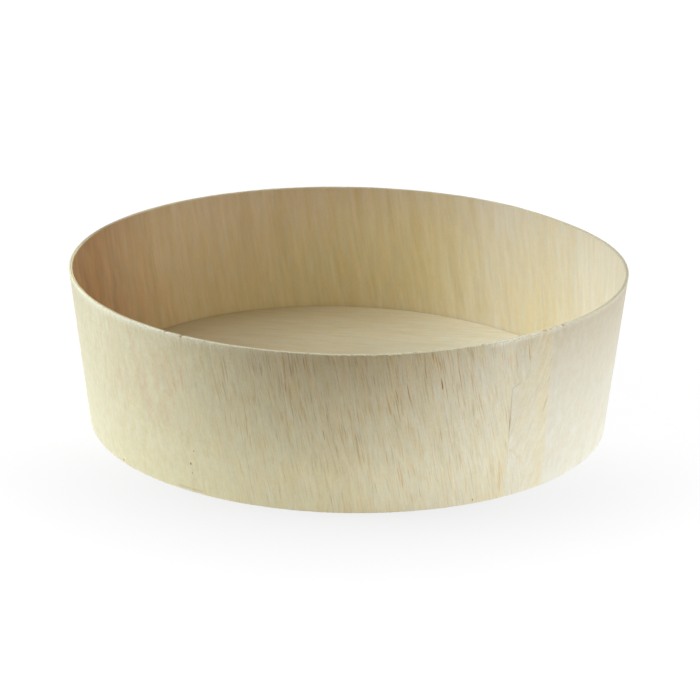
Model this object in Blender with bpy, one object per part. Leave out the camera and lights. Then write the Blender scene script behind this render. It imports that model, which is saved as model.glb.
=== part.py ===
"""Round food tray of peeled poplar veneer.

Two strips of thin veneer, glued face to face, are bent into one tapered wall.
Each strip is closed by a glued lap of its own, where both ends are thinned to a
feather edge, and the two laps are set apart. A three-ply disc is pressed into the
wall a little above its lower edge, and a bead of glue holds it from below, so the
tray stands on the edge of its wall.

Metres, +Z up. Angles are in degrees from +X, anticlockwise seen from above,
so the front of the tray is at -90. The tray stands on z = 0.
"""
import math

import bmesh
import bpy
from mathutils import Vector

# Wall
RIM_RADIUS = 0.0875
BASE_RADIUS = 0.0817
HEIGHT = 0.050
OUTER_PLY = 0.0004
INNER_PLY = 0.0004
WALL_GLUE = 0.0003
RIM_BEVEL = 0.00015
INNER_LIFT = 0.0006

# Laps, where one end of a strip is glued over the other: each angle is the feather
# edge that shows, and the hidden one lies a lap's length further anticlockwise
OUTER_LAP_ANGLE = -55.6
INNER_LAP_ANGLE = -150.0
LAP = 0.0173
LAP_EDGE = 0.00005
LAP_GLUE = 0.00005

# The rim isn't quite round: it is pushed in at the outer lap and at the back right
LAP_DENT_ANGLE = -47.6
LAP_DENT_DEPTH = 0.0033
LAP_DENT_WIDTH = 37.0
BACK_DENT_ANGLE = 37.6
BACK_DENT_DEPTH = 0.0014
BACK_DENT_WIDTH = 20.0

# Floor disc, which sits a degree out of level, with its high side at the back left
FLOOR_HEIGHT = 0.0073
FLOOR_PLY = 0.0004
FLOOR_GLUE = 0.0003
FLOOR_CLEARANCE = 0.0003
FLOOR_TILT_ANGLE = 1.03
FLOOR_HIGH_SIDE_ANGLE = 146.3

# Glue bead under the floor
BEAD_LEG = 0.0020
BEAD_HOLLOW = 0.0007
BEAD_CLEARANCE = 0.0003

SEGMENTS = 144
MERGE = 1e-6

WALL = OUTER_PLY + WALL_GLUE + INNER_PLY

DENTS = (
    (LAP_DENT_ANGLE, LAP_DENT_DEPTH, LAP_DENT_WIDTH),
    (BACK_DENT_ANGLE, BACK_DENT_DEPTH, BACK_DENT_WIDTH),
)


def rim_radius(angle):
    """Radius of the wall's outer face at the rim, less the smooth dents in it."""
    radius = RIM_RADIUS
    for centre, depth, width in DENTS:
        turn = math.remainder(angle - math.radians(centre), math.tau)
        radius -= depth * math.exp(-(turn / math.radians(width)) ** 2)
    return radius


def wall_lean(angle):
    """How far the wall leans out for each metre that it rises."""
    return (rim_radius(angle) - BASE_RADIUS) / HEIGHT


def on_wall(angle, inset, height):
    """The point at a height that lies an inset inside the wall's outer face."""
    radius = BASE_RADIUS + wall_lean(angle) * height - inset
    return Vector((radius * math.cos(angle), radius * math.sin(angle), height))


def on_floor(angle, inset, height):
    """As on_wall, on a plane that tilts with the floor and has that height on the axis."""
    lean = wall_lean(angle)
    high_side = math.radians(FLOOR_HIGH_SIDE_ANGLE)
    climb = math.tan(math.radians(FLOOR_TILT_ANGLE)) * math.cos(angle - high_side)
    radius = (BASE_RADIUS - inset + lean * height) / (1.0 - lean * climb)
    return Vector((radius * math.cos(angle), radius * math.sin(angle), height + climb * radius))


def outline_middle():
    """Middle of the rim's bounding box, which the dents pull off the base's axis."""
    outline = [on_wall(math.tau * step / SEGMENTS, 0.0, HEIGHT) for step in range(SEGMENTS)]
    along_x = [point.x for point in outline]
    along_y = [point.y for point in outline]
    return Vector((min(along_x) + max(along_x), min(along_y) + max(along_y), 0.0)) / 2.0


def make_material(name, colour, roughness):
    """A plain Principled material."""
    material = bpy.data.materials.new(name)
    material.use_nodes = True
    shader = material.node_tree.nodes["Principled BSDF"]
    shader.inputs["Base Color"].default_value = (*colour, 1.0)
    shader.inputs["Roughness"].default_value = roughness
    shader.inputs["Metallic"].default_value = 0.0
    return material


def finish_piece(name, shape, material):
    """Makes the object: faces turned outward, sharp corners kept, its material set."""
    bmesh.ops.recalc_face_normals(shape, faces=shape.faces)
    mesh = bpy.data.meshes.new(name)
    shape.to_mesh(mesh)
    shape.free()
    mesh.shade_smooth()
    mesh.set_sharp_from_angle(angle=math.radians(30.0))
    mesh.materials.append(material)
    piece = bpy.data.objects.new(name, mesh)
    bpy.context.scene.collection.objects.link(piece)
    return piece


def turned(name, section, material):
    """A ring or a disc in the floor's plane, turned from (inset, height) points.

    The section is spun as if the wall stood upright and the floor lay level, and
    then every point moves to where the leaning, dented wall and the tilted floor
    have that inset and height. Two section points make the edge of a disc, whose
    faces are filled, and more make the closed outline of a ring.
    """
    shape = bmesh.new()
    corners = [shape.verts.new((BASE_RADIUS - inset, 0.0, height)) for inset, height in section]
    links = list(zip(corners, corners[1:]))
    if len(corners) > 2:
        links.append((corners[-1], corners[0]))
    edges = [shape.edges.new(link) for link in links]
    bmesh.ops.spin(
        shape,
        geom=corners + edges,
        cent=(0.0, 0.0, 0.0),
        axis=(0.0, 0.0, 1.0),
        angle=math.tau,
        steps=SEGMENTS,
    )
    bmesh.ops.remove_doubles(shape, verts=shape.verts, dist=MERGE)
    bmesh.ops.holes_fill(shape, edges=[edge for edge in shape.edges if edge.is_boundary])
    for vertex in shape.verts:
        angle = math.atan2(vertex.co.y, vertex.co.x)
        inset = BASE_RADIUS - math.hypot(vertex.co.x, vertex.co.y)
        vertex.co = on_floor(angle, inset, vertex.co.z)
    return finish_piece(name, shape, material)


def strip_faces(turned_by, whole, ply):
    """Insets of a strip's outer and inner face, measured from its own outer side.

    The first end lies over the last one. It thickens from its feather edge over the
    length of the lap, and the last end thins as much under it, a film of glue lower.
    The last end starts to thin one step early, so the feather edge has room.
    """
    lap = LAP / BASE_RADIUS
    step = math.tau / SEGMENTS
    if turned_by < lap:
        share = turned_by / lap
        return 0.0, LAP_EDGE + (ply - LAP_EDGE) * share
    share = (turned_by - (whole - lap)) / lap
    if share < -step / lap:
        return 0.0, ply
    share = max(share, 0.0)
    outer = LAP_EDGE + LAP_GLUE + (ply - LAP_EDGE) * share
    return outer, ply + (LAP_EDGE + LAP_GLUE) * share


def bent_strip(name, first_edge, inset, ply, foot, bevel, material):
    """A strip of veneer bent round the wall, from its first feather edge to its last.

    Each step has a section of five points: the outer face from the foot up to the
    bevel under the rim, the rim, and the inner face down again.
    """
    whole = math.tau + LAP / BASE_RADIUS
    steps = math.ceil(whole / (math.tau / SEGMENTS))
    shape = bmesh.new()
    sections = []
    for count in range(steps + 1):
        turned_by = whole * count / steps
        angle = math.radians(first_edge) + turned_by
        outer, inner = strip_faces(turned_by, whole, ply)
        cut = min(bevel, (inner - outer) / 2.0)
        outline = (
            (outer, foot),
            (outer, HEIGHT - cut),
            (outer + cut, HEIGHT),
            (inner, HEIGHT),
            (inner, foot),
        )
        points = [on_wall(angle, inset + deep, high) for deep, high in outline]
        sections.append([shape.verts.new(point) for point in points])
    for here, there in zip(sections, sections[1:]):
        for side in range(len(here)):
            shape.faces.new((here[side - 1], here[side], there[side], there[side - 1]))
    shape.faces.new(sections[0])
    shape.faces.new(sections[-1])
    return finish_piece(name, shape, material)


def outer_wall():
    """Outer strip: it carries the bevelled rim and the edge that the tray stands on."""
    material = make_material("outer_veneer", (0.72, 0.63, 0.45), 0.62)
    return bent_strip(
        "outer_wall_veneer", OUTER_LAP_ANGLE, 0.0, OUTER_PLY, 0.0, RIM_BEVEL, material
    )


def inner_wall():
    """Inner strip, cut a little short so that only the outer strip meets the table."""
    material = make_material("inner_veneer", (0.62, 0.50, 0.31), 0.58)
    inset = OUTER_PLY + WALL_GLUE
    return bent_strip(
        "inner_wall_veneer", INNER_LAP_ANGLE, inset, INNER_PLY, INNER_LIFT, 0.0, material
    )


def floor_disc(name, top, material):
    """One ply of the floor, its edge cut to the lean of the wall around it."""
    inset = WALL + FLOOR_CLEARANCE
    section = ((inset, top), (inset, top - FLOOR_PLY))
    return turned(name, section, material)


def floor_plies():
    """The three plies of the floor from the top down, with a glue line between each two."""
    plies = (
        ("floor_face_veneer", (0.66, 0.56, 0.37)),
        ("floor_cross_veneer", (0.58, 0.46, 0.28)),
        ("floor_back_veneer", (0.63, 0.53, 0.35)),
    )
    discs = []
    for count, (name, colour) in enumerate(plies):
        top = FLOOR_HEIGHT - count * (FLOOR_PLY + FLOOR_GLUE)
        discs.append(floor_disc(name, top, make_material(name, colour, 0.60)))
    return discs


def glue_bead():
    """Hollow-faced bead in the corner between the floor's underside and the wall."""
    underside = FLOOR_HEIGHT - 3.0 * FLOOR_PLY - 2.0 * FLOOR_GLUE
    corner = WALL + BEAD_CLEARANCE
    top = underside - BEAD_CLEARANCE
    section = (
        (corner, top),
        (corner, top - BEAD_LEG),
        (corner + BEAD_HOLLOW, top - BEAD_HOLLOW),
        (corner + BEAD_LEG, top),
    )
    material = make_material("glue", (0.78, 0.74, 0.62), 0.35)
    return turned("floor_glue_bead", section, material)


def build():
    """Clears the scene, makes every piece and hangs them all on the tray's axis."""
    for item in list(bpy.data.objects):
        bpy.data.objects.remove(item)
    axis = bpy.data.objects.new("tray_axis", None)
    axis.location = -outline_middle()
    bpy.context.scene.collection.objects.link(axis)
    for piece in [outer_wall(), inner_wall(), *floor_plies(), glue_bead()]:
        piece.parent = axis


build()
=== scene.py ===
# %% [markdown]
# # A round food tray of peeled poplar veneer
#
# The real tray is two strips of thin veneer, glued face to face and bent round a
# plywood disc. This lesson dresses its plain solids. Each solid is replaced by a fine
# surface worked out as one numpy grid, and one veneer finish is built as shader nodes
# that follow the wood's own grain wherever the strip bends.

import math

import bpy
import numpy as np
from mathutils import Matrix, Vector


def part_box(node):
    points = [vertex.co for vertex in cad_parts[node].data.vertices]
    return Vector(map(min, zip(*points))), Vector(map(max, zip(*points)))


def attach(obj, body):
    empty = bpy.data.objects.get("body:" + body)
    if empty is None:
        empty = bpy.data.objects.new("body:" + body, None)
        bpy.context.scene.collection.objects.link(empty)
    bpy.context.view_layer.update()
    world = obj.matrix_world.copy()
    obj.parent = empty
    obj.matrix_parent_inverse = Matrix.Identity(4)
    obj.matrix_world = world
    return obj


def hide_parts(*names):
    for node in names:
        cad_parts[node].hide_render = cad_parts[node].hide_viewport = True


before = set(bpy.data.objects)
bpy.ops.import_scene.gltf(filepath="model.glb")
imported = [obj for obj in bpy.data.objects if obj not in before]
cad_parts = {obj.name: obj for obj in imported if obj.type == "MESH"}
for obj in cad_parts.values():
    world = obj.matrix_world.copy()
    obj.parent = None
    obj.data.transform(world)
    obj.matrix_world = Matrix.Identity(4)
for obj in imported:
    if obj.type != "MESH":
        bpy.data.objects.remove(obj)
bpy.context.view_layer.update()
print("solids:", ", ".join(sorted(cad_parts)))

# %% [markdown]
# ## The shape that every piece follows
#
# A tapered wall could be a scaled cylinder, but this one isn't round at the rim: the
# stiff lap at the front right pushes it in, and a knock does at the back right. So the
# wall is written as a ruled surface. Straight lines run from a circle at the foot to a
# dented circle at the rim, and every piece asks that surface for its points.

# %% Sizes of the wall
MM = 0.001
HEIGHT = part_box("outer_wall_veneer")[1].z
BASE_RADIUS = 81.7 * MM
RIM_RADIUS = 87.5 * MM
DENTS = (
    {"angle": -47.6, "depth": 3.3 * MM, "width": 37.0},
    {"angle": 37.6, "depth": 1.4 * MM, "width": 20.0},
)
SOLID_STEP = 2.5


def hump(value, centre, width):
    """A bell curve: 1 at its centre, fading to nothing a width or two away."""
    return np.exp(-(((value - centre) / width) ** 2))


def turn_from(angle, centre):
    """Turn from a centre in degrees, by the shorter way round."""
    return (angle - math.radians(centre) + math.pi) % math.tau - math.pi


def bell(angle, centre, width):
    """A bell curve round the tray, its centre and width in degrees."""
    return hump(turn_from(angle, centre), 0.0, math.radians(width))


def rim_radius(angle):
    """Radius at the rim: the round one, less a bell curve for each dent."""
    radius = RIM_RADIUS
    for dent in DENTS:
        radius = radius - dent["depth"] * bell(angle, dent["angle"], dent["width"])
    return radius


def face_radius(angle, height):
    """Radius of the wall's outer face: a straight line from the foot's to the rim's."""
    return BASE_RADIUS + (rim_radius(angle) - BASE_RADIUS) * height / HEIGHT


# %% The foot's axis, which the dents leave half a millimetre off the middle
steps = np.radians(np.arange(0.0, 360.0, SOLID_STEP))
rim_x = rim_radius(steps) * np.cos(steps)
rim_y = rim_radius(steps) * np.sin(steps)
AXIS_X = -(rim_x.min() + rim_x.max()) / 2.0
AXIS_Y = -(rim_y.min() + rim_y.max()) / 2.0


def place(angle, radius, height):
    """Points about the foot's axis: x, y and z on the array's last side."""
    x = AXIS_X + radius * np.cos(angle)
    y = AXIS_Y + radius * np.sin(angle)
    return np.stack(np.broadcast_arrays(x, y, height), axis=-1)


def solid_corners(node):
    """A solid's corners as angle, radius and height about the same axis."""
    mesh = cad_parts[node].data
    corners = np.empty(len(mesh.vertices) * 3, np.float32)
    mesh.vertices.foreach_get("co", corners)
    x, y, z = corners.reshape(-1, 3).astype(float).T
    return np.arctan2(y - AXIS_Y, x - AXIS_X), np.hypot(x - AXIS_X, y - AXIS_Y), z


angle, radius, height = solid_corners("outer_wall_veneer")
inside = (face_radius(angle, height) - radius) / MM
print(f"the solid's corners lie {inside.min():.3f} to {inside.max():.3f} mm inside the formula")

# %% [markdown]
# ## Unevenness that is the same each time
#
# Bent wood sways a little, and a cut edge is chipped. Random numbers for each point
# would look like fur, so the sway is a sum of long cosine waves, and the chips are
# pointed notches. Both are drawn from seeded numbers, so each run gives the same tray.

# %% Waves round the tray and notches along an edge
SWAY = 0.10 * MM
SWAY_WAVES = (3, 5, 8, 13)


def waves(angle, height, seed, counts):
    """Between -1 and 1: the mean of cosines that go a whole number of times round.

    Each wave also turns its phase by up to a radian from the foot to the rim.
    """
    rng = np.random.default_rng(seed)
    total = 0.0
    for count in counts:
        start = rng.uniform(0.0, math.tau)
        twist = rng.uniform(-1.0, 1.0)
        total = total + np.cos(count * angle + start + twist * height / HEIGHT)
    return total / len(counts)


def sway(angle, height):
    """How far the wall bows inward, from nothing to twice the sway."""
    return SWAY * (1.0 + waves(angle, height, 4, SWAY_WAVES))


def notches(along, seed, spacing, widest):
    """Between 0 and 1 along an edge: the deepest of the pointed notches over each place.

    The notches have random places, random widths, and depths that are mostly small.
    """
    rng = np.random.default_rng(seed)
    count = int(np.ptp(along) / spacing)
    centre = rng.uniform(along.min(), along.max(), count)
    width = rng.uniform(0.3, 1.0, count) * widest
    depth = rng.uniform(0.0, 1.0, count) ** 2
    reach = 1.0 - np.abs(along[:, None] - centre) / width
    return (np.clip(reach, 0.0, 1.0) * depth).max(axis=1)


def ease(value):
    """A smooth step: 0 below 0, 1 above 1, and a soft S between them."""
    value = np.clip(value, 0.0, 1.0)
    return value * value * (3.0 - 2.0 * value)


def arc(angle, start, end, soft, soft_end=None):
    """1 between two angles and 0 elsewhere, with soft ends that many degrees wide."""
    turn = (np.degrees(angle) - start) % 360.0
    return ease(turn / soft) * ease((end - start - turn) / (soft_end or soft))


# %% [markdown]
# ## From a grid to a mesh
#
# Each piece is a grid of points: one direction runs round the tray, and the other
# round the piece's own section. A grid could be joined face by face in a loop, but an
# array of the points' numbers, shifted by one, gives every quad at once. What the
# finish needs to know about a place goes along as a named attribute.

# %% Grid to mesh
SHARP = math.radians(35.0)


def grid_faces(around, section, closed):
    """Quads of a grid whose section is a ring, and which may be a ring as well."""
    number = np.arange(around * section).reshape(around, section)
    here = number if closed else number[:-1]
    there = np.roll(number, -1, axis=0) if closed else number[1:]
    corners = (here, there, np.roll(there, -1, axis=1), np.roll(here, -1, axis=1))
    return np.stack(corners, axis=-1).reshape(-1, 4)


def put(name, data):
    """An object with its data, in the scene."""
    thing = bpy.data.objects.new(name, data)
    bpy.context.scene.collection.objects.link(thing)
    return thing


def make_piece(name, points, faces, caps, facts):
    """Makes the object from points, quads and end caps, with an attribute for each fact."""
    mesh = bpy.data.meshes.new(name)
    mesh.from_pydata(points.reshape(-1, 3).tolist(), [], faces.tolist() + caps)
    for fact, values in facts.items():
        vector = values.ndim == points.ndim
        kind = "FLOAT_VECTOR" if vector else "FLOAT"
        attribute = mesh.attributes.new(fact, kind, "POINT")
        data = values.astype(np.float32).ravel()
        attribute.data.foreach_set("vector" if vector else "value", data)
    mesh.shade_smooth()
    mesh.set_sharp_from_angle(angle=SHARP)
    piece = put(name, mesh)
    print(f"{name}: {len(points.reshape(-1, 3))} points, {len(faces) + len(caps)} faces")
    return piece


# %% [markdown]
# ## Where a place lies on the flat sheet
#
# The grain was straight while the veneer was flat, and a tapered wall unrolls into a
# bow. So every point carries the place that it had on the sheet: its distance from the
# cone's tip and a turn that is smaller than the one round the tray. The grain then
# leans more and more away from where it stands upright, and jumps where the strip
# closes, as it does on the real tray. A plain UV of angle and height would miss this.

# %% The cone unrolled
TAPER = math.sin(math.atan2(RIM_RADIUS - BASE_RADIUS, HEIGHT))
MIDDLE = (BASE_RADIUS + RIM_RADIUS) / 2.0 / TAPER


def on_sheet(angle, height, inset, upright):
    """Place on the flat sheet: across the grain, along it, and into the wood."""
    radius = BASE_RADIUS + (RIM_RADIUS - BASE_RADIUS) * height / HEIGHT
    turn = (angle - math.radians(upright)) * TAPER
    across = radius / TAPER * np.sin(turn)
    along = radius / TAPER * np.cos(turn) - MIDDLE
    return np.stack(np.broadcast_arrays(across, along, inset), axis=-1)


# %% [markdown]
# ## Stains and painted shade, by place
#
# Veneer has no even colour: one side of the sheet is brown heartwood, darkened further by
# painted shade, and the rim is darker than the foot in painted shade. The other side and
# the floor's right are lighter in painted light, and the floor holds a painted shadow of
# the wall. A picture of the stains would fix them at one size, so they are painted in
# numbers. Each patch adds to one tone of the wood, lies at a place round the tray, and
# rises or falls up the wall.

# %% Painting
EVERYWHERE = ()


def place_round(angle, place):
    """Everywhere, a bell by its centre and width, or an arc by its ends and softness."""
    if not place:
        return 1.0
    return bell(angle, *place) if len(place) == 2 else arc(angle, *place)


def change_up(share, way="level", first=1.0, width=1.0):
    """From foot to rim: level, rising or falling by a power, or a hump."""
    if way == "rises":
        return share**first
    if way == "falls":
        return (1.0 - share) ** first
    return hump(share, first, width) if way == "hump" else 1.0


def paint(patches, angle, share):
    """Adds up each tone's patches: strength, place round the tray, change up the wall."""
    tones = {}
    for tone, rows in patches.items():
        tones[tone] = 0.0
        for strength, place, *up in rows:
            patch = place_round(angle, place) * change_up(share, *up)
            tones[tone] = tones[tone] + strength * patch
    return tones


# The rim's end grain round the tray, in painted light and shade: lightest at the front left and
# front right, darker at the back, most at the back left, and a little at the right.
RIM_TONE_AND_SHADING = (
    (0.50, EVERYWHERE),
    (-0.20, (50.0, 145.0, 20.0)),
    (-0.50, (158.0, 12.0)),
    (-0.12, (5.0, 20.0)),
    (0.50, (-162.0, 20.0)),
    (0.25, (-62.0, 26.0)),
)

# %% [markdown]
# ## The wall's two strips
#
# Each strip closes with a lap: both ends are thinned to a feather edge, and one is
# glued over the other. A ring with a groove would look close, but the grain has to
# jump at the lap and the feather edge has to lift, so the strip is modelled as it is
# made: one long sheet that goes once round and then on under its own beginning.

# %% Thickness of a strip along its length
PLY = 0.53 * MM
PLY_GLUE = 0.04 * MM
LAP = 17.3 * MM
LAP_ANGLE = LAP / BASE_RADIUS
LAP_EDGE = 0.015 * MM
LAP_FILM = 0.010 * MM
LAP_DIP = 0.8 * MM / BASE_RADIUS
WHOLE = math.tau + LAP_ANGLE
COLUMNS = 1488


def strip_faces(turned, thin):
    """Insets of the outer and inner face from the strip's own outer side.

    The first end stays thin for a while, and then thickens inward over the rest of the
    lap. The last end dips by the feather edge and the film just before it goes under,
    and thins as much from its outer side.
    """
    first = np.clip((turned - thin) / (LAP_ANGLE - thin), 0.0, 1.0)
    last = np.clip((turned - math.tau - thin) / (LAP_ANGLE - thin), 0.0, 1.0)
    dip = ease((turned - math.tau + LAP_DIP) / LAP_DIP) * (LAP_EDGE + LAP_FILM)
    outer = dip + (PLY - LAP_EDGE) * last
    inner = LAP_EDGE + (PLY - LAP_EDGE) * first + (LAP_EDGE + LAP_FILM) * last
    return outer, inner


# %% Section of a strip
FACE_LOW = [0.0, 0.004, 0.01, 0.018, 0.03]
FACE_HIGH = [0.684, 0.700, 0.955, 0.967, 0.976, 0.984, 0.992, 1.0]
FACE_ROWS = np.sort(np.concatenate((FACE_LOW, np.linspace(0.06, 0.94, 22), FACE_HIGH)))
BACK_LOW = [0.18, 0.155, 0.13, 0.06, 0.0]
CORNER_ROWS = np.array([0.25, 0.5, 0.75, 1.0])
RIM_ROWS = np.array([0.25, 0.5, 0.75, 1.0])
BACK_ROWS = np.concatenate(([0.996, 0.95], np.linspace(0.9, 0.23, 7), BACK_LOW))
FOOT_ROWS = np.array([0.34, 0.67])


def strip_section(outer, inner, foot, top, outer_corner, inner_corner):
    """Insets and heights round the section, for each column of the strip.

    It climbs the outer face, turns a quarter ellipse into the rim, crosses it, turns
    another into the inner face, and comes back along the foot. A corner is a pair:
    how deep and how high its quarter ellipse is.
    """
    deep, high = outer_corner
    back_deep, back_high = inner_corner
    turn = CORNER_ROWS * math.pi / 2.0
    flat = np.zeros
    face = outer + flat(FACE_ROWS.size), foot + (top - high - foot) * FACE_ROWS
    corner = outer + deep * (1.0 - np.cos(turn)), top - high * (1.0 - np.sin(turn))
    near, far = outer + deep, inner - back_deep
    rim = near + (far - near) * RIM_ROWS, top + flat(RIM_ROWS.size)
    back_corner = far + back_deep * np.sin(turn), top - back_high * (1.0 - np.cos(turn))
    back = inner + flat(BACK_ROWS.size), foot + (top - back_high - foot) * BACK_ROWS
    under = inner + (outer - inner) * FOOT_ROWS, foot + flat(FOOT_ROWS.size)
    parts = (face, corner, rim, back_corner, back, under)
    return [np.concatenate([part[side] for part in parts], axis=1) for side in (0, 1)]


SECTION = (FACE_ROWS, CORNER_ROWS, RIM_ROWS, CORNER_ROWS, BACK_ROWS, FOOT_ROWS)
ABOVE = (FACE_ROWS, np.ones(4), np.ones(4), np.ones(4), BACK_ROWS, np.zeros(2))
LEVELS = np.concatenate(ABOVE) * HEIGHT


def on_rows(*values):
    """One number for each row of the section: the same within each of its six parts."""
    rows = zip(SECTION, values)
    return np.concatenate([np.full(part.size, float(value)) for part, value in rows])


# %% [markdown]
# The outer strip carries the rim's crushed bevel, a few nicks, the lifted feather edge
# at the front right, and the ridge where the hidden end shows through.

# %% Outer strip
OUTER_LAP = -55.6
OUTER_UPRIGHT = 185.0
TONGUE = {"long": 6.2 * MM, "low": 15.5 * MM, "high": 34.5 * MM}
LAP_LEAN = 0.1
FRONT = (-172.0, -8.0, 14.0)
RIM_CHIP = 0.16 * MM
RIM_CRUSH = 0.30 * MM
RIM_WAVE = 0.05 * MM
RIM_WAVES = (2, 7, 31)
FOOT_CHIP = 0.14 * MM
CHIP = 0.9 * MM
OUTER_CUT = {"rim": 11, "rim_step": 1.4 * MM, "wave": 5, "foot": 12, "foot_step": 1.1 * MM}
LIFT = {"height": 26.5 * MM, "reach": 5.5 * MM, "rise": 0.03 * MM, "fade": 2.2 * MM}
RIDGE = {"rise": 0.05 * MM, "width": 0.9 * MM}
NICK_FULL_DARK = 0.5 * MM

# Each nick in the rim: its angle, and its half width and depth in millimetres
NICKS = (
    (-48.0, 0.9, 0.40),
    (-42.5, 0.6, 0.35),
    (-63.5, 0.5, 0.30),
    (-123.2, 0.5, 0.40),
    (-127.0, 0.4, 0.22),
)


def nick_depth(angle):
    """Depth of the named nicks: for each, a rounded notch about its own angle."""
    depth = 0.0
    for middle, wide, deep in NICKS:
        away = turn_from(angle, middle) * RIM_RADIUS / (wide * MM)
        depth = depth + deep * MM * np.exp(-(away**4))
    return depth


def nick_darkening(angle):
    """How dark the nicks are drawn: nearly 1 in the deepest one, and 0 outside them."""
    return nick_depth(angle) / NICK_FULL_DARK


def setback(height):
    """How far the feather edge is worn back: below and above its tongue."""
    above = ease((height - TONGUE["high"]) / (1.5 * MM))
    below = ease((TONGUE["low"] - height) / (4.0 * MM))
    return TONGUE["long"] * np.maximum(above, below)


RIGHT = (-46.3, 75.0, 2.0, 70.0)
BACK = (20.0, 175.0, 30.0)
LEFT = (-168.0, 28.0)
LAP_ZONE = (-56.0, -45.0, 1.0)
SLIVER = (-127.8, -120.0, 1.0)
CRACK = {"middle": 27.5 * MM, "half": 7.3 * MM, "darkest": 23.5 * MM, "spread": 2.0 * MM}
# The shade rows are painted shade: the wall darkens toward the rim, most at the front, and also
# at the back and the left foot. The shade rows below nothing are painted light, at the low front
# and the upper front left.
OUTER_PATCHES = {
    "edge": RIM_TONE_AND_SHADING,
    "shade": (
        (0.45, EVERYWHERE, "rises", 1.3),
        (0.50, (-90.0, 26.0), "rises", 1.3),
        (0.25, RIGHT, "rises", 1.3),
        (-0.15, (-135.0, 18.0), "rises", 1.3),
        (0.12, LAP_ZONE, "rises", 2.0),
        (-0.12, (-150.0, 9.0), "rises", 3.0),
        (0.12, LEFT, "falls", 1.0),
        (0.12, BACK),
        (-0.07, (-90.0, 35.0), "hump", 0.25, 0.13),
    ),
    "pale": (
        (0.85, RIGHT),
        (0.50, LEFT),
        (0.15, (-125.0, 30.0)),
        (0.30, (-68.0, 16.0)),
        (0.30, LAP_ZONE),
        (0.20, LAP_ZONE, "falls", 2.0),
        (0.10, EVERYWHERE, "rises", 3.0),
    ),
    "blush": (
        (0.50, (-133.0, 12.0), "hump", 0.66, 0.3),
        (0.15, RIGHT, "falls", 1.0),
    ),
}


def outer_tone(angle, height, turned):
    """The outer sheet's tones: painted tone, shade and light, and those that the lap and rim add.
    """
    share = np.clip(height / HEIGHT, 0.0, 1.0)
    tones = paint(OUTER_PATCHES, angle, share)
    right, lap, sliver = (place_round(angle, zone) for zone in (RIGHT, LAP_ZONE, SLIVER))
    cloudy = place_round(angle, BACK) * (1.0 + waves(angle, height, 14, (2, 5, 9)))
    tones["pale"] += 0.15 * (cloudy - lap * bell(angle, -46.5, 1.3))
    tones["pale"] += 0.4 * bell(angle, -60.0, 10.0) * (1.0 - right) * share
    strength = 0.72 + 0.45 * share
    soft_left = np.maximum(bell(angle, -166.0, 30.0), 0.8 * bell(angle, -134.0, 20.0))
    over, under = turned < math.pi, turned > math.pi
    figure = 1.0 - 0.75 * (right + soft_left) - 0.45 * lap * over
    figure = figure - 0.3 * bell(angle, -57.0, 8.0) * share * under
    tones["figure"] = strength * figure
    tones["calm"] = 1.0 - strength * (1.0 - 0.25 * right + 0.3 * soft_left)
    # A brown line along the crack by the lapped end: dirt in the crack and a painted shadow of
    # the lifted feather edge.
    edge = np.exp(-turned * RIM_RADIUS / (0.25 * MM))
    edge = edge * (np.abs(height - CRACK["middle"]) < CRACK["half"])
    crack_dirt_and_shadow = edge * (0.2 + 0.6 * hump(height, CRACK["darkest"], CRACK["spread"]))
    # The brown line just above the foot at the sliver is a painted shadow of the lifted sliver.
    tones["stain_and_shadow"] = crack_dirt_and_shadow + 0.25 * sliver * hump(height, 0.85 * MM, 0.2 * MM)
    # Crushed fibre on the rim's bevel, whitened further as a painted highlight: a ragged band
    # just below the rim at the front right, and along the rim at the left. The light line along
    # the foot at the sliver is crushed fibre.
    rubbed_and_highlight = arc(angle, -64.0, -6.0, 5.0) * (0.27 + 0.15 * bell(angle, -58.0, 8.0))
    crush = rubbed_and_highlight * hump(height, HEIGHT - 0.8 * MM, 0.6 * MM)
    crush = crush + 0.9 * bell(angle, -142.0, 28.0) * hump(height, HEIGHT, 1.4 * MM)
    tones["crush"] = crush + 0.8 * sliver * hump(height, 0.0, 0.4 * MM)
    return tones


def columns(first_edge):
    """Turn from the strip's first edge, and the angle round the tray, as columns."""
    turned = np.linspace(0.0, WHOLE, COLUMNS + 1)[:, None]
    return turned, math.radians(first_edge) + turned


def strip_facts(angle, height, depth, upright, **facts):
    """The facts that the veneer finish reads, one value for each point of the strip."""
    size = height.shape
    facts = {fact: np.broadcast_to(value, size) for fact, value in facts.items()}
    facts["sheet"] = on_sheet(angle, height, depth, upright) + np.zeros((*size, 3))
    return facts


def cut_edges(angle, along, top, foot, cut):
    """Heights of a strip's two cut edges, with waves, chips and the named nicks."""
    front = arc(angle, *FRONT)
    chips = RIM_CHIP * notches(along, cut["rim"], cut["rim_step"], CHIP)[:, None]
    wave = RIM_WAVE * (1.0 + waves(angle, 0.0, cut["wave"], RIM_WAVES))
    top = top - wave - chips * (0.2 + 0.8 * front) - nick_depth(angle)
    chips = FOOT_CHIP * notches(along, cut["foot"], cut["foot_step"], CHIP)[:, None]
    return top, foot + chips


def make_strip(name, points, facts):
    """Joins a strip's sections, and closes each end with one face."""
    count, section = points.shape[:2]
    last = count * section
    caps = [list(range(section)), list(range(last - 1, last - section - 1, -1))]
    return make_piece(name, points, grid_faces(count, section, closed=False), caps, facts)


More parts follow.
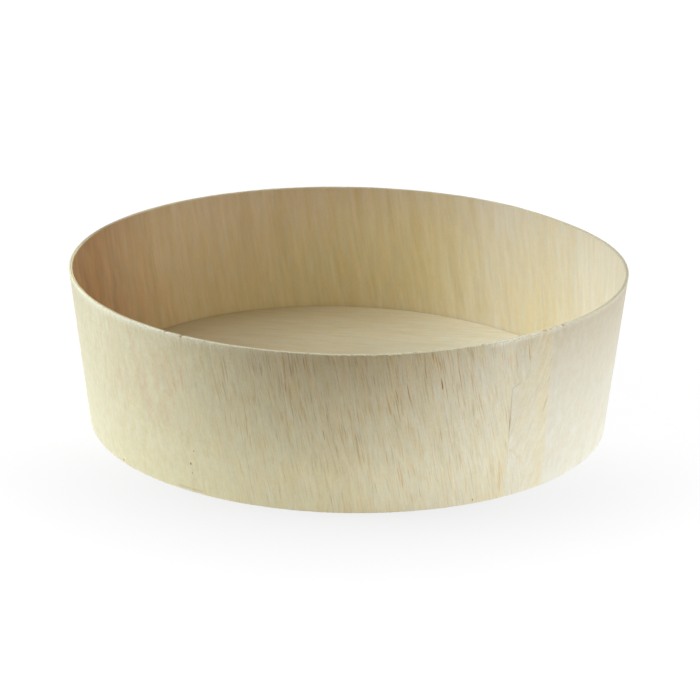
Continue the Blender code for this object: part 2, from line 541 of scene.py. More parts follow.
def outer_strip():
    """The outer sheet: its section swept round the wall, one column at a time."""
    turned, angle = columns(OUTER_LAP)
    along = turned[:, 0] * RIM_RADIUS
    outer, inner = strip_faces(turned, TONGUE["long"] / BASE_RADIUS)
    top, foot = cut_edges(angle, along, HEIGHT, 0.0, OUTER_CUT)
    crush = RIM_CRUSH * notches(along, 13, 0.7 * MM, 1.2 * MM)[:, None] * arc(angle, *FRONT)
    crush = 0.2 * MM + crush
    thick = inner - outer
    outer_corner = (np.minimum(0.45 * thick, 0.8 * crush), crush)
    inner_corner = (0.1 * thick, 0.04 * MM)
    inset, height = strip_section(outer, inner, foot, top, outer_corner, inner_corner)
    worn = setback(LEVELS) / BASE_RADIUS
    angle = angle + worn * np.clip(1.0 - turned / LAP_ANGLE, 0.0, 1.0)
    facts = outer_tone(angle, height, turned)
    facts["rim"] = on_rows(0, 0.8, 1, 1, 0, 1)
    facts["crush"] *= on_rows(1, 1, 0, 0, 0, 1)
    # Along the front rim the crushed white is partly wear and partly a painted highlight.
    rim_wear_and_highlight = 0.35 * bell(angle, -86.0, 14.0) + 0.65 * bell(angle, -52.0, 15.0)
    facts["crush"] += rim_wear_and_highlight * on_rows(0, 1, 1, 0.5, 0, 0)
    facts["crush"] *= 1.0 - nick_darkening(angle)
    # Dark dots along the rim in small gaps, and darker in the nicks.
    gaps = notches(along, 15, 1.8 * MM, 1.2 * MM)[:, None] * arc(angle, -165.0, -60.0, 20.0)
    rim_dark_spots = 0.7 * gaps + nick_darkening(angle)
    facts["stain_and_shadow"] += rim_dark_spots * on_rows(0, 1, 1, 1, 0, 0)
    facts = strip_facts(angle, height, inset, OUTER_UPRIGHT, **facts)
    lean = LAP_LEAN * (1.0 - ease((turned * RIM_RADIUS - LAP) / (12.0 * MM)))
    facts["sheet"][..., 0] += lean * (height - HEIGHT / 2.0)
    fade = np.exp(-turned * RIM_RADIUS / LIFT["fade"])
    span = ease(1.5 - np.abs(height - LIFT["height"]) / LIFT["reach"])
    ridge = hump(turned * RIM_RADIUS, LAP_ANGLE * RIM_RADIUS, RIDGE["width"])
    bow = sway(angle, height) - LIFT["rise"] * fade * span - RIDGE["rise"] * ridge
    points = place(angle, face_radius(angle, height) - inset - bow, height)
    return make_strip("outer_wall_strip", points, facts)


outer_wall = outer_strip()

# %% [markdown]
# The inner strip lies a film of glue inside the outer one. It is cut a little short, so
# only the outer strip meets the table, and its rim has a small round corner that
# the lips and fingers touch.

# %% Inner strip
INNER_LAP = -150.0
INNER_UPRIGHT = 172.0
INNER_LIFT = 0.6 * MM
INNER_DROP = 0.05 * MM
INNER_CUT = {"rim": 21, "rim_step": 1.6 * MM, "wave": 6, "foot": 22, "foot_step": 1.3 * MM}
FLOOR_HEIGHT = 7.3 * MM
FLOOR_TILT = math.tan(math.radians(1.03))
FLOOR_HIGH_SIDE = math.radians(146.3)


def floor_climb(angle):
    """How far the tilted floor climbs for each metre outward."""
    return FLOOR_TILT * np.cos(angle - FLOOR_HIGH_SIDE)


def floor_line(angle):
    """Height at which the tilted floor meets the wall."""
    return FLOOR_HEIGHT + floor_climb(angle) * BASE_RADIUS


INNER_RIGHT = (18.0, 45.0)
# Inside, the dark rows are painted shade on the left side, over its reddish brown wood, and the
# shade rows darken the wall toward the rim in painted shade. The pale rows are painted light on
# the right side, and near the floor at the back they offset the corner's shade. The edge adds
# painted light to the rim at the front right.
INNER_PATCHES = {
    "edge": (*RIM_TONE_AND_SHADING, (0.30, (-30.0, 20.0))),
    "dark": (
        (1.05, (180.0, 36.0)),
        (0.28, (120.0, 22.0)),
        (-0.336, (120.0, 22.0), "falls", 4.0),
    ),
    "shade": (
        (0.08, (150.0, 12.0), "hump", 0.42, 0.2),
        (0.40, EVERYWHERE, "rises", 2.0),
        (-0.40, INNER_RIGHT, "rises", 2.0),
        (-0.24, (172.0, 14.0), "rises", 2.0),
        (0.14, (90.0, 22.0), "rises", 3.0),
        (0.14, (166.0, 20.0), "rises", 4.0),
        (0.12, INNER_RIGHT, "rises", 8.0),
    ),
    "pale": (
        (0.9775, (0.0, 40.0)),
        (0.345, (0.0, 40.0), "rises", 1.0),
        (0.40, (53.0, 11.0)),
        (0.20, EVERYWHERE, "rises", 2.0),
        (0.12, (126.0, 20.0), "rises", 2.0),
        (0.50, (74.0, 22.0), "falls", 4.0),
        (0.25, (74.0, 22.0), "rises", 6.0),
    ),
    "blush": (
        (0.40, (160.0, 34.0)),
        (-0.40, (160.0, 34.0), "rises", 2.0),
        (0.28, (178.0, 16.0), "rises", 2.0),
    ),
    "figure": (
        (1.00, EVERYWHERE),
        (-0.30, INNER_RIGHT),
    ),
}


def inner_tone(angle, height):
    """The inner sheet's tones: reddish brown in painted shade at the left, cream in painted light
    at the right.
    """
    share = np.clip(height / HEIGHT, 0.0, 1.0)
    tones = paint(INNER_PATCHES, angle, share)
    tones["shade"] += tones.pop("dark") * (1.15 - 0.48 * share**2)
    # A painted shadow on the wall just above the floor, where the two meet: darker at the left
    # than at the right.
    above = height - floor_line(angle)
    floor_corner_shadow = 0.08 - 0.064 * place_round(angle, INNER_RIGHT)
    tones["stain_and_shadow"] = floor_corner_shadow * hump(above, 0.0, 0.8 * MM)
    return tones


def inner_strip():
    """The inner sheet, made as the outer one is, with its fibre chips on the inside."""
    turned, angle = columns(INNER_LAP)
    along = turned[:, 0] * RIM_RADIUS
    outer, inner = strip_faces(turned, 0.0)
    top, foot = cut_edges(angle, along, HEIGHT - INNER_DROP, INNER_LIFT, INNER_CUT)
    thick = inner - outer
    outer_corner = (0.1 * thick, 0.04 * MM)
    inner_corner = (0.3 * thick, 0.14 * MM)
    inset, height = strip_section(outer, inner, foot, top, outer_corner, inner_corner)
    facts = inner_tone(angle, height)
    facts["rim"] = on_rows(0, 1, 1, 0.7, 0, 1)
    frayed = notches(along, 23, 1.5 * MM, 1.2 * MM)[:, None] * arc(angle, -110.0, -25.0, 20.0)
    frayed = 0.9 * frayed + bell(angle, -154.0, 16.0) + nick_darkening(angle)
    facts["stain_and_shadow"] += frayed * on_rows(0, 0, 0.45, 0.9, 0, 0)
    facts = strip_facts(angle, height, inset, INNER_UPRIGHT, **facts)
    deep = inset + PLY + PLY_GLUE + sway(angle, height)
    points = place(angle, face_radius(angle, height) - deep, height)
    return make_strip("inner_wall_strip", points, facts)


inner_wall = inner_strip()

# %% [markdown]
# ## The floor's three plies
#
# The floor is a plywood disc, pressed in from above and a degree out of level. A flat
# circle would leave a gap where the wall is dented, so each ring of points is a share
# of the wall's own outline at that height. The rings lie closer near the edge, where
# the disc turns down, and the middle is one point, so the disc is closed.

# %% Floor plies
FLOOR_GAP = 0.15 * MM
FLOOR_WARP = 0.10 * MM
FLOOR_ROUNDING = 0.06 * MM
WALL = 2.0 * PLY + PLY_GLUE
BACK_SHADE = 30.0 * MM
DISC_COLUMNS = 720
ROUND = np.linspace(0.0, math.tau, DISC_COLUMNS, endpoint=False)[:, None]
DISC_RINGS = np.concatenate((np.linspace(0.04, 0.96, 24), [0.985, 0.995, 0.999]))


def floor_edge(angle, height, gap):
    """Radius where the wall's inner face meets the tilted floor, less a gap."""
    lean = (rim_radius(angle) - BASE_RADIUS) / HEIGHT
    inset = WALL + sway(angle, height) + gap
    return (BASE_RADIUS - inset + lean * height) / (1.0 - lean * floor_climb(angle))


def floor_disc(name, top, grain_angle):
    """A ply: the upper face's rings from the middle out, then the lower face's back in."""
    angle, flat = ROUND, DISC_RINGS.size
    shares = np.concatenate((DISC_RINGS, [1.0, 1.0], DISC_RINGS[::-1]))
    edge = [FLOOR_ROUNDING, PLY - FLOOR_ROUNDING]
    drops = np.concatenate((np.zeros(flat), edge, np.full(flat, PLY)))
    radius = shares * floor_edge(angle, top, FLOOR_GAP)
    warp = FLOOR_WARP * waves(angle, 0.0, 7, (2, 3)) * shares**2 * (1.0 - shares**8)
    climb = floor_climb(angle) * radius
    points = place(angle, radius, top + climb + warp - drops).reshape(-1, 3)
    middle = place(np.zeros(2), 0.0, np.array([top, top - PLY]))
    points = np.concatenate((points, middle))
    rings = shares.size
    quads = grid_faces(DISC_COLUMNS, rings, closed=True)
    quads = quads[np.arange(len(quads)) % rings != rings - 1]
    first = np.arange(DISC_COLUMNS) * rings
    upper, lower = DISC_COLUMNS * rings, DISC_COLUMNS * rings + 1
    fans = [[upper, here, there] for here, there in zip(first, np.roll(first, -1))]
    last = first + rings - 1
    fans += [[lower, there, here] for here, there in zip(last, np.roll(last, -1))]
    cos, sin = math.cos(math.radians(grain_angle)), math.sin(math.radians(grain_angle))
    across = points[:, 0] * cos + points[:, 1] * sin
    along = points[:, 1] * cos - points[:, 0] * sin
    by_ring = np.stack((shares == 1.0, shares**40))
    rim, close = np.pad(np.tile(by_ring, DISC_COLUMNS), ((0, 0), (0, 2)))
    right = points[:, 0] / BASE_RADIUS
    back = points[:, 1] / BACK_SHADE
    # The floor's tones are painted light and shade: shade is a painted shadow of the wall at the
    # left and the back, pale is painted light toward the right, and the stain is a painted shadow
    # along the edge where the disc meets the wall, more at the left.
    facts = {
        "sheet": np.stack((across, along, points[:, 2] - top), axis=-1),
        "rim": rim,
        "shade": np.clip(0.28 - 0.6 * right, 0.0, 1.0) + 0.3 * ease(back - 1.5),
        "pale": 0.15 + ease(1.3 * right),
        "figure": np.ones(close.shape),
        "stain_and_shadow": 0.3 * close**3 * (0.5 - 0.5 * right),
    }
    return make_piece(name, points, quads, fans, facts)


GRAIN_ACROSS = 86.0
plies = []
for count, name in enumerate(("floor_face_disc", "floor_cross_disc", "floor_back_disc")):
    top = FLOOR_HEIGHT - count * (PLY + PLY_GLUE)
    plies.append(floor_disc(name, top, GRAIN_ACROSS + 90.0 * (count % 2)))

# %% [markdown]
# ## The bead of glue
#
# A hand-run bead holds the disc from below. Its hollow face and its uneven legs come
# from one section whose size swells and shrinks as it goes round.

# %% Glue bead
BEAD_LEG = 1.9 * MM
BEAD_HOLLOW = 0.35
BEAD_ROWS = np.linspace(0.0, 1.0, 9)


def glue_bead():
    """A hollow fillet: its face is a curve bent from one leg's end to the other's."""
    angle = ROUND
    top = FLOOR_HEIGHT - 3.0 * PLY - 2.0 * PLY_GLUE - 0.05 * MM
    swell = 0.86 + 0.14 * waves(angle, 0.0, 8, (4, 9, 17, 29))
    lump = notches(angle[:, 0] * BASE_RADIUS, 31, 9.0 * MM, 4.0 * MM)[:, None]
    leg = BEAD_LEG * swell * (0.9 + 0.1 * lump)
    pull = 1.0 - BEAD_HOLLOW * np.sin(math.pi * BEAD_ROWS)
    deep = np.concatenate((0.0 * leg, leg * BEAD_ROWS * pull), axis=1)
    down = np.concatenate((0.0 * leg, leg * (1.0 - BEAD_ROWS) * pull), axis=1)
    height = top - down
    radius = floor_edge(angle, height, 0.05 * MM) - deep
    points = place(angle, radius, height + floor_climb(angle) * radius)
    faces = grid_faces(*points.shape[:2], closed=True)
    return make_piece("glue_bead", points, faces, [], {"lump": np.broadcast_to(lump, deep.shape)})


bead = glue_bead()

# %% Every piece stands for its solid and rides on the tray
STANDS_FOR = (
    (outer_wall, "outer_wall_veneer", "outer_veneer"),
    (inner_wall, "inner_wall_veneer", "inner_veneer"),
    (plies[0], "floor_face_veneer", "floor_veneer"),
    (plies[1], "floor_cross_veneer", "floor_veneer"),
    (plies[2], "floor_back_veneer", "floor_veneer"),
    (bead, "floor_glue_bead", "glue"),
)
for piece, node, slot in STANDS_FOR:
    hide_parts(node)
    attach(piece, "root")

# %% [markdown]
# ## Tools for shader nodes
#
# A finish here is a tree of nodes. Small helpers keep the code short: they add a node
# and fill its sockets, do arithmetic, mix colours, and turn the usual 0 to 255 colours
# into the linear numbers that shaders work in.

# %% Node helpers


def add(tree, kind, inputs=None, **settings):
    """Adds a shader node with its settings, and fills inputs with values or sockets."""
    made = tree.nodes.new("ShaderNode" + kind)
    for setting, value in settings.items():
        setattr(made, setting, value)
    for socket, value in (inputs or {}).items():
        if isinstance(value, bpy.types.NodeSocket):
            tree.links.new(value, made.inputs[socket])
        else:
            made.inputs[socket].default_value = value
    return made


def maths(tree, operation, *values, kind="Math"):
    """One step of arithmetic on numbers or sockets, or on vectors by VectorMath."""
    return add(tree, kind, dict(enumerate(values)), operation=operation).outputs[0]


def blend(tree, share, first, second, way="MIX"):
    """Mixes two colours by a share."""
    inputs = {"Factor": share, "A": first, "B": second}
    settings = {"data_type": "RGBA", "blend_type": way}
    return add(tree, "Mix", inputs, **settings).outputs["Result"]


def colour_ramp(tree, value, stops):
    """A colour that runs through a list of stops as the value climbs from 0 to 1."""
    ramp = add(tree, "ValToRGB", {"Fac": value})
    elements = ramp.color_ramp.elements
    while len(elements) < len(stops):
        elements.new(0.5)
    for element, (position, shade) in zip(elements, stops):
        element.position, element.color = position, shade
    return ramp.outputs["Color"]


def rescale(tree, value, low, high, to_low=0.0, to_high=1.0, way="SMOOTHSTEP"):
    """Maps a range of values to another, softly and clamped."""
    inputs = {"Value": value, "From Min": low, "From Max": high}
    inputs.update({"To Min": to_low, "To Max": to_high})
    return add(tree, "MapRange", inputs, interpolation_type=way).outputs["Result"]


def colour(red, green, blue):
    """A linear colour from the usual 0 to 255 numbers, by the sRGB curve."""
    share = np.array([red, green, blue]) / 255.0
    linear = np.where(share <= 0.04045, share / 12.92, ((share + 0.055) / 1.055) ** 2.4)
    return (*linear.tolist(), 1.0)


# %% [markdown]
# ## Peeled veneer
#
# Peeling runs a knife round the log, so the face shows the vessels as short brown
# pores, all along the grain. An image would repeat and blur, so the grain is built from
# noise that is squeezed across the grain and stretched along it: slow bands, hair-fine
# fibres, and pores from stretched cells, each of which is a thin spindle. The group
# gives the colour and the relief, and each ply sets its own wood in it.

# %% Grain group
GRAIN_COLOURS = ("Light Wood", "Shaded Wood", "Pale and Lit Wood", "Blush Wood", "Pore Tint")
GRAIN_TONES = ("Shade", "Pale", "Blush", "Figure")
GRAIN_STRENGTHS = ("Banding", "Fibres", "Mottle", "Pores")
GRAIN_INPUTS = {
    "Sheet": "Vector",
    **dict.fromkeys(GRAIN_COLOURS, "Color"),
    **dict.fromkeys(GRAIN_TONES + GRAIN_STRENGTHS, "Float"),
}
EARLY_WOOD = (1.15, 1.20, 1.36, 1.0)
LATE_WOOD = (0.85, 0.79, 0.63, 1.0)
COOL_WOOD = (0.98, 1.01, 1.07, 1.0)
WARM_WOOD = (1.02, 0.99, 0.93, 1.0)
WHITE = (1.0, 1.0, 1.0, 1.0)

# Each noise: its features' width across the grain and length along it in millimetres,
# how far its sheet is shifted aside, and its detail
NOISES = {
    "drift": (12.0, 45.0, 3.0, 2.0),
    "broad": (4.5, 60.0, 11.0, 1.0),
    "bands": (1.5, 18.0, 17.0, 1.0),
    "fibres": (0.36, 6.0, 23.0, 2.0),
    "grit": (0.55, 0.9, 71.0, 2.0),
    "clouds": (1.8, 5.5, 29.0, 3.0),
    "fuzz": (1.9, 2.6, 59.0, 3.0),
    "warmth": (1.9, 9.0, 67.0, 2.0),
    "blotches": (5.0, 12.0, 31.0, 2.0),
    "fine pores": (0.42, 8.0, 37.0, 1.0),
    "strong pores": (0.55, 12.0, 41.0, 1.0),
    "crowd": (9.0, 20.0, 53.0, 2.0),
    "ragged mark": (0.4, 1.5, 61.0, 2.0),
    "ragged edge": (0.5, 0.6, 73.0, 2.0),
}
SPINDLES = (1.2, 14.0, 47.0)
SPINDLE_FILL = 0.35
DRIFT = 3.0 * MM
GRAIN_OUTPUTS = {"Color": "Color", "Height": "Float", "Roughness": "Float"}


def new_group(name, inputs, outputs):
    """An empty node group with named sockets, and its two end nodes."""
    group = bpy.data.node_groups.new(name, "ShaderNodeTree")
    for side, sockets in (("INPUT", inputs), ("OUTPUT", outputs)):
        for socket, kind in sockets.items():
            group.interface.new_socket(socket, in_out=side, socket_type="NodeSocket" + kind)
    given = group.nodes.new("NodeGroupInput").outputs
    return group, given, group.nodes.new("NodeGroupOutput").inputs


def stretched(tree, place, wide, long, shift):
    """The sheet's place in units of a feature's millimetres, shifted aside."""
    scale = (1.0 / (wide * MM), 1.0 / (long * MM), 1.0 / (wide * MM))
    aside = (shift, shift * 0.7, shift * 1.3)
    return maths(tree, "MULTIPLY_ADD", place, scale, aside, kind="VectorMath")


def noise(tree, place, name, centred=False):
    """A named noise between 0 and 1, or about 0 if it is centred."""
    *size, detail = NOISES[name]
    vector = stretched(tree, place, *size)
    inputs = {"Vector": vector, "Scale": 1.0, "Detail": detail, "Roughness": 0.55}
    made = add(tree, "TexNoise", inputs).outputs["Fac"]
    return maths(tree, "SUBTRACT", made, 0.5) if centred else made


def spindle_layer(tree, place):
    """Spindles: near a stretched cell's point, in some of the cells."""
    inputs = {"Vector": stretched(tree, place, *SPINDLES), "Scale": 1.0}
    cell = add(tree, "TexVoronoi", inputs, voronoi_dimensions="2D").outputs
    close = rescale(tree, cell["Distance"], 0.22, 0.03)
    random = add(tree, "SeparateColor", {"Color": cell["Color"]}).outputs["Red"]
    chosen = rescale(tree, random, 1.0 - SPINDLE_FILL, 1.0, way="LINEAR")
    return maths(tree, "MULTIPLY", close, chosen)


def grain_tone(group, given, place, bands, fibres):
    """How dark the grain is at a place: bands and fibres, and mottle between them."""
    tone = maths(group, "MULTIPLY_ADD", noise(group, place, "broad"), 0.9, bands)
    tone = maths(group, "MULTIPLY", maths(group, "SUBTRACT", tone, 0.95), given["Banding"])
    thin = maths(group, "MULTIPLY", maths(group, "SUBTRACT", fibres, 0.5), given["Fibres"])
    tone = maths(group, "MULTIPLY", maths(group, "ADD", tone, thin), given["Figure"])
    fuzz = maths(group, "MULTIPLY_ADD", noise(group, place, "fuzz"), 1.6, -0.3)
    blotch = {"Factor": given["Figure"], "A": fuzz, "B": noise(group, place, "clouds")}
    blotch = add(group, "Mix", blotch).outputs["Result"]
    blotch = maths(group, "SUBTRACT", blotch, 0.5)
    blotch = maths(group, "MULTIPLY_ADD", noise(group, place, "grit", centred=True), 0.8, blotch)
    tone = maths(group, "ADD", tone, 0.5)
    return maths(group, "MULTIPLY_ADD", blotch, given["Mottle"], tone)


def grain_colour(group, given, place, tone):
    """Wood colour: painted shade and light and blush, then light and dark grain, cool and warm.
    """
    # Pale is partly the pale sheet of the outer right and partly painted light on the right side
    # inside and on the floor.
    clear = blend(group, given["Pale"], given["Light Wood"], given["Pale and Lit Wood"])
    # Shade is painted shade: it mixes the wood toward its shaded colour.
    wood = blend(group, given["Shade"], clear, given["Shaded Wood"])
    mottle = rescale(group, noise(group, place, "blotches"), 0.35, 0.65)
    blush = maths(group, "MULTIPLY", mottle, given["Blush"])
    wood = blend(group, blush, wood, given["Blush Wood"])
    streak = blend(group, tone, EARLY_WOOD, LATE_WOOD)
    wood = blend(group, 1.0, wood, streak, "MULTIPLY")
    swing = maths(group, "MULTIPLY_ADD", given["Figure"], 0.75, 0.25)
    warmth = maths(group, "MULTIPLY", noise(group, place, "warmth", centred=True), swing)
    warmth = rescale(group, warmth, -0.2, 0.2, way="LINEAR")
    hue = blend(group, warmth, COOL_WOOD, WARM_WOOD)
    return blend(group, 1.0, wood, hue, "MULTIPLY")


def grain_pores(group, given, place):
    """Where pores are: the crests of two noises, and spindles, denser in some areas."""
    fine = rescale(group, noise(group, place, "fine pores"), 0.54, 0.72)
    strong = rescale(group, noise(group, place, "strong pores"), 0.58, 0.76)
    pores = maths(group, "MULTIPLY_ADD", strong, 0.5, maths(group, "MULTIPLY", fine, 0.5))
    pores = maths(group, "MULTIPLY_ADD", spindle_layer(group, place), 0.5, pores)
    crowd = rescale(group, noise(group, given["Sheet"], "crowd"), 0.3, 0.7, 0.4)
    pores = maths(group, "MULTIPLY", pores, crowd)
    share = maths(group, "POWER", given["Figure"], 1.7)
    share = maths(group, "MULTIPLY", share, given["Pores"])
    return maths(group, "MULTIPLY", pores, share)


def build_grain():
    """Bands, fibres and pores from one place on the sheet, mixed into colour and relief."""
    group, given, out = new_group("Peeled veneer", GRAIN_INPUTS, GRAIN_OUTPUTS)
    drift = noise(group, given["Sheet"], "drift", centred=True)
    drift = maths(group, "MULTIPLY", drift, DRIFT)
    drift = add(group, "CombineXYZ", {"X": drift}).outputs["Vector"]
    place = maths(group, "ADD", given["Sheet"], drift, kind="VectorMath")
    bands, fibres = noise(group, place, "bands"), noise(group, place, "fibres")
    pores = grain_pores(group, given, place)
    wood = grain_colour(group, given, place, grain_tone(group, given, place, bands, fibres))
    pored = blend(group, pores, WHITE, given["Pore Tint"])
    group.links.new(blend(group, 1.0, wood, pored, "MULTIPLY"), out["Color"])
    relief = maths(group, "MULTIPLY", fibres, 0.012 * MM)
    relief = maths(group, "MULTIPLY_ADD", bands, 0.02 * MM, relief)
    relief = maths(group, "MULTIPLY_ADD", pores, -0.03 * MM, relief)
    group.links.new(relief, out["Height"])
    group.links.new(maths(group, "MULTIPLY_ADD", fibres, 0.2, 0.5), out["Roughness"])
    print("grain group:", len(group.nodes), "nodes")
    return group


grain_group = build_grain()

# %% [markdown]
# ## A finish for each ply
#
# A finish takes the group's colour and adds what only its own place has: end grain on
# the rim in painted light and shade, white crushed fibres on the bevel with a painted
# highlight, and a brown that is stain in the crack, darkening in the nicks, and painted
# shadow by the lifted edge, the sliver and the floor's corner.

# %% Veneer finish
# Each wood: its colours and its strengths, in the order that the grain group names them
WOODS = {
    "outer_veneer": (
        ((244, 232, 193), (172, 155, 121), (246, 245, 232), (226, 200, 172), (212, 169, 110)),
        (0.4, 0.65, 0.5, 1.0),
    ),
    "inner_veneer": (
        ((224, 206, 153), (156, 121, 86), (236, 228, 211), (206, 160, 108), (171, 135, 108)),
        (0.6, 0.1, 0.35, 0.14),
    ),
    "floor_veneer": (
        ((238, 227, 196), (196, 176, 129), (248, 241, 220), (222, 198, 160), (182, 153, 123)),
        (0.4, 0.35, 0.35, 0.1),
    ),
}
# End grain colours for the rim, from its painted shade to its painted light.
RIM_TONES = (
    (0.0, colour(150, 134, 100)),
    (0.5, colour(208, 198, 166)),
    (1.0, colour(250, 246, 196)),
)
# White of crushed and torn fibre, used on the rim's bevel also as a painted highlight.
CRUSHED_AND_HIGHLIGHT = colour(251, 250, 240)
# Brown for stain in the crack and for painted shadow at the lifted edge, the sliver and the
# corners where the wall meets the floor.
STAIN_AND_SHADOW = colour(150, 108, 62)
FLECK = colour(152, 112, 52)
# Each mark: its angle, its height, half width and half length in millimetres, and its
# strength. Angles below nothing are on the strip's first end, and the rest further on.
MARKS = (
    (288.3, 39.6, 0.34, 2.5, 0.95),
    (288.4, 38.4, 0.30, 0.9, 1.0),
    (281.6, 37.8, 0.24, 4.2, 0.7),
    (265.5, 25.0, 0.22, 2.6, 0.6),
    (236.8, 9.3, 0.45, 0.6, 1.0),
    (237.8, 13.7, 0.28, 0.5, 0.8),
    (237.0, 6.3, 0.25, 0.4, 0.8),
    (214.9, 1.0, 0.5, 0.5, 0.8),
    (296.7, 1.2, 0.3, 0.5, 0.8),
    (-44.4, 39.3, 0.5, 2.8, 0.2),
    (-45.0, 33.5, 0.5, 2.2, 0.2),
    (-45.9, 26.3, 0.6, 3.4, 0.25),
)
TORN_SPOT = (215.6, 1.9, 0.7, 0.6, 0.9)


def read_fact(tree, fact, output="Fac"):
    """A named attribute of the piece, which is 0 on a piece without it."""
    return add(tree, "Attribute", attribute_name=fact).outputs[output]


def new_material(name):
    """A material with a bare Principled shader, its tree and its shader."""
    material = bpy.data.materials.new(name)
    material.use_nodes = True
    return material, material.node_tree, material.node_tree.nodes["Principled BSDF"]


def build_mark():
    """A soft spindle about a centre, with a ragged outline, as a mask."""
    inputs = {"Sheet": "Vector", "Centre": "Vector", "Size": "Vector", "Share": "Float"}
    group, given, out = new_group("Spindle mark", inputs, {"Mask": "Float"})
    away = maths(group, "SUBTRACT", given["Sheet"], given["Centre"], kind="VectorMath")
    away = maths(group, "MULTIPLY", away, given["Size"], kind="VectorMath")
    reach = add(group, "VectorMath", {0: away}, operation="LENGTH").outputs["Value"]
    rough = noise(group, given["Sheet"], "ragged mark")
    reach = maths(group, "MULTIPLY_ADD", rough, 0.5, maths(group, "SUBTRACT", reach, 0.25))
    mask = maths(group, "MULTIPLY", rescale(group, reach, 1.0, 0.2), given["Share"])
    group.links.new(mask, out["Mask"])
    return group


mark_group = build_mark()


def lay_mark(tree, wood, sheet, mark, tone):
    """Lays one mark over the wood, as a spindle along the grain."""
    angle, height, wide, long, share = mark
    centre = on_sheet(math.radians(angle), height * MM, 0.0, OUTER_UPRIGHT)
    size = (1.0 / (wide * MM), 1.0 / (long * MM), 0.0)
    inputs = {"Sheet": sheet, "Centre": centre, "Size": size, "Share": share}
    spindle = add(tree, "Group", inputs, node_tree=mark_group)
    return blend(tree, spindle.outputs["Mask"], wood, tone)


def veneer_finish(slot):
    """Grain from the group, with marks, end grain and crushed fibre, in painted light and shade.
    """
    material, tree, shader = new_material(slot)
    sheet = read_fact(tree, "sheet", "Vector")
    inputs = {tone: read_fact(tree, tone.lower()) for tone in GRAIN_TONES}
    colours, strengths = WOODS[slot]
    inputs.update(zip(GRAIN_COLOURS, (colour(*shade) for shade in colours)))
    inputs.update(zip(GRAIN_STRENGTHS, strengths))
    lively = maths(tree, "SUBTRACT", 1.0, read_fact(tree, "calm"))
    inputs["Mottle"] = maths(tree, "MULTIPLY", lively, inputs["Mottle"])
    inputs["Sheet"] = sheet
    grain = add(tree, "Group", inputs, node_tree=grain_group)
    wood = grain.outputs["Color"]
    if slot == "outer_veneer":
        for mark in MARKS:
            wood = lay_mark(tree, wood, sheet, mark, FLECK)
        wood = lay_mark(tree, wood, sheet, TORN_SPOT, CRUSHED_AND_HIGHLIGHT)
    # The rim's end grain: its colour with painted light and shade, set by the edge fact.
    rim_share = maths(tree, "MULTIPLY", read_fact(tree, "rim"), 0.75)
    rim = colour_ramp(tree, read_fact(tree, "edge"), RIM_TONES)
    wood = blend(tree, rim_share, wood, rim)
    # Stain, and painted shadow in the corners and by the lifted edges.
    wood = blend(tree, read_fact(tree, "stain_and_shadow"), wood, STAIN_AND_SHADOW)
    # Crushed fibre, with a painted highlight along the rim's bevel.
    ragged = rescale(tree, noise(tree, sheet, "ragged edge"), 0.35, 0.6, 0.25)
    crush = maths(tree, "MULTIPLY", read_fact(tree, "crush"), ragged)
    wood = blend(tree, crush, wood, CRUSHED_AND_HIGHLIGHT)
    tree.links.new(wood, shader.inputs["Base Color"])
    tree.links.new(grain.outputs["Roughness"], shader.inputs["Roughness"])
    bump = add(tree, "Bump", {"Height": grain.outputs["Height"], "Distance": 1.0})
    tree.links.new(bump.outputs["Normal"], shader.inputs["Normal"])
    shader.inputs["Specular IOR Level"].default_value = 0.25
    return material


finishes = {slot: veneer_finish(slot) for slot in WOODS}


def glue_finish():
    """Dried wood glue: cloudy, satin, a little yellower where it is thick."""
    material, tree, shader = new_material("glue")
    thick = read_fact(tree, "lump")
    cloud = add(tree, "TexNoise", {"Scale": 240.0, "Detail": 3.0}).outputs["Fac"]
    share = maths(tree, "MULTIPLY_ADD", thick, 0.5, maths(tree, "MULTIPLY", cloud, 0.5))
    mixed = blend(tree, share, colour(236, 228, 206), colour(214, 190, 140))
    tree.links.new(mixed, shader.inputs["Base Color"])
    tree.links.new(rescale(tree, cloud, 0.3, 0.7, 0.25, 0.45), shader.inputs["Roughness"])
    bump = add(tree, "Bump", {"Height": cloud, "Distance": 0.05 * MM})
    tree.links.new(bump.outputs["Normal"], shader.inputs["Normal"])
    return material


finishes["glue"] = glue_finish()
for piece, node, slot in STANDS_FOR:
    piece.data.materials.append(finishes[slot])

# %% [markdown]
# ## Floor, light and camera
#
# The stage is a white sweep. Turning the lamps up until the floor burns out would burn
# the pale wood too, so the floor only looks white: to the camera it adds a plain glow
# to its own shaded surface, and the tray's soft shadow stays in it. The glow is dimmed
# near the tray by ambient occlusion, most in front: a painted soft shadow.

# %% Stage
STAGE_SIZE = 3.0
FLOOR_TONE = 0.80
FLOOR_SHOWN = 0.05
FLOOR_GLOW = 0.98
SHADOW_REACH = 60.0 * MM
SHADOW_SHARE = 0.33
SHADOW_LEAST = 0.12
SHADOW_BACK = -10.0 * MM
SHADOW_FRONT = -85.0 * MM


def seen_directly(tree):
    """1 for rays from the camera, a mirror or glass, and 0 for the light that they meet."""
    path = add(tree, "LightPath").outputs
    seen = maths(tree, "MAXIMUM", path["Is Camera Ray"], path["Is Glossy Ray"])
    return maths(tree, "MAXIMUM", seen, path["Is Transmission Ray"])


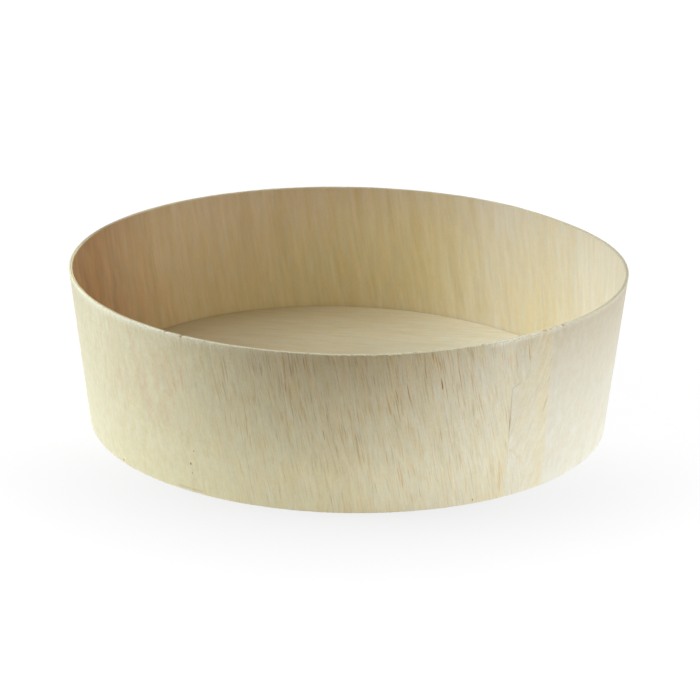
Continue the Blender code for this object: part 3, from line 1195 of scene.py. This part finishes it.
def white_floor():
    """A wide plane whose glow shows only to the camera and in reflections."""
    half = STAGE_SIZE / 2.0
    mesh = bpy.data.meshes.new("floor")
    corners = [(-half, -half, 0.0), (half, -half, 0.0), (half, half, 0.0), (-half, half, 0.0)]
    mesh.from_pydata(corners, [], [(0, 1, 2, 3)])
    floor = put("floor", mesh)
    material, tree, _ = new_material("floor")
    tree.nodes.clear()
    plain = add(tree, "BsdfDiffuse", {"Color": (FLOOR_TONE,) * 3 + (1.0,)}).outputs[0]
    shown = add(tree, "BsdfDiffuse", {"Color": (FLOOR_SHOWN,) * 3 + (1.0,)}).outputs[0]
    # A painted soft shadow: the glow dims where ambient occlusion finds the tray near, most in
    # front of it.
    reach = {"Distance": SHADOW_REACH}
    open_sky = add(tree, "AmbientOcclusion", reach).outputs["AO"]
    at = add(tree, "TexCoord").outputs["Object"]
    forward = add(tree, "SeparateXYZ", {"Vector": at}).outputs["Y"]
    depth = rescale(tree, forward, SHADOW_BACK, SHADOW_FRONT, SHADOW_LEAST, 1.0)
    hidden = maths(tree, "MULTIPLY", maths(tree, "SUBTRACT", 1.0, open_sky), depth)
    strength = maths(tree, "MULTIPLY_ADD", hidden, -SHADOW_SHARE, FLOOR_GLOW)
    glow = add(tree, "Emission", {"Strength": strength}).outputs[0]
    lit = add(tree, "AddShader", {0: shown, 1: glow}).outputs[0]
    both = add(tree, "MixShader", {0: seen_directly(tree), 1: plain, 2: lit}).outputs[0]
    add(tree, "OutputMaterial", {"Surface": both})
    mesh.materials.append(material)


white_floor()

# %% World
AMBIENT = 0.12


def soft_world():
    """A white backdrop to the camera and to gloss, and a dimmer even light to the rest."""
    world = bpy.data.worlds.new("white sweep")
    world.use_nodes = True
    tree = world.node_tree
    tree.nodes.clear()
    dim = add(tree, "Background", {"Color": WHITE, "Strength": AMBIENT}).outputs[0]
    white = add(tree, "Background", {"Color": WHITE, "Strength": 1.0}).outputs[0]
    both = add(tree, "MixShader", {0: seen_directly(tree), 1: dim, 2: white}).outputs[0]
    add(tree, "OutputWorld", {"Surface": both})
    bpy.context.scene.world = world


soft_world()

# %% Lamps
# Each lamp: its name, place, power in watts and tint
LAMPS = (
    ("key_left", (-0.87, 0.0, 0.50), 6.2, (0.93, 1.0, 0.93)),
    ("key_high", (-0.50, 0.0, 0.87), 2.5, (0.98, 1.0, 0.98)),
    ("fill_right", (0.99, 0.0, 0.26), 2.3, (0.97, 0.99, 1.0)),
    ("fill_front_right", (0.86, -0.50, 0.26), 3.9, (0.97, 0.99, 1.0)),
    ("fill_front", (0.50, -0.86, 0.26), 1.0, (1.0, 1.0, 1.0)),
    ("fill_back", (0.0, 0.99, 0.26), 3.5, (1.0, 1.0, 1.0)),
)
LAMP_SIZE = 0.5


def aim(thing, at, target):
    """Puts a lamp or camera at a point and turns it to face another."""
    thing.location = at
    away = np.array(at) - np.array(target)
    flat = math.hypot(away[0], away[1])
    thing.rotation_euler = (math.atan2(flat, away[2]), 0.0, math.atan2(away[0], -away[1]))


for name, spot, power, tint in LAMPS:
    light = bpy.data.lights.new(name, "AREA")
    light.size, light.energy, light.color = LAMP_SIZE, power, tint
    aim(put(name, light), spot, (0.0, 0.0, HEIGHT / 2.0))
print("lamps:", len(LAMPS))

# %% Camera
LOOK_AT = (AXIS_X + 0.36 * MM, AXIS_Y, 20.7 * MM)
DISTANCE = 742.6 * MM
PITCH = math.radians(19.53)
ROLL = math.radians(1.08)
LENS = 120.6


def photo_camera():
    """Looks along +Y and down, turned a degree about its own line of sight."""
    camera = put("camera", bpy.data.cameras.new("camera"))
    camera.data.lens = LENS
    back = DISTANCE * math.cos(PITCH)
    camera.location = (LOOK_AT[0], LOOK_AT[1] - back, LOOK_AT[2] + DISTANCE * math.sin(PITCH))
    camera.rotation_mode = "ZXY"
    camera.rotation_euler = (math.pi / 2.0 - PITCH, 0.0, ROLL)
    bpy.context.scene.camera = camera


photo_camera()
bpy.context.scene.view_settings.view_transform = "Standard"
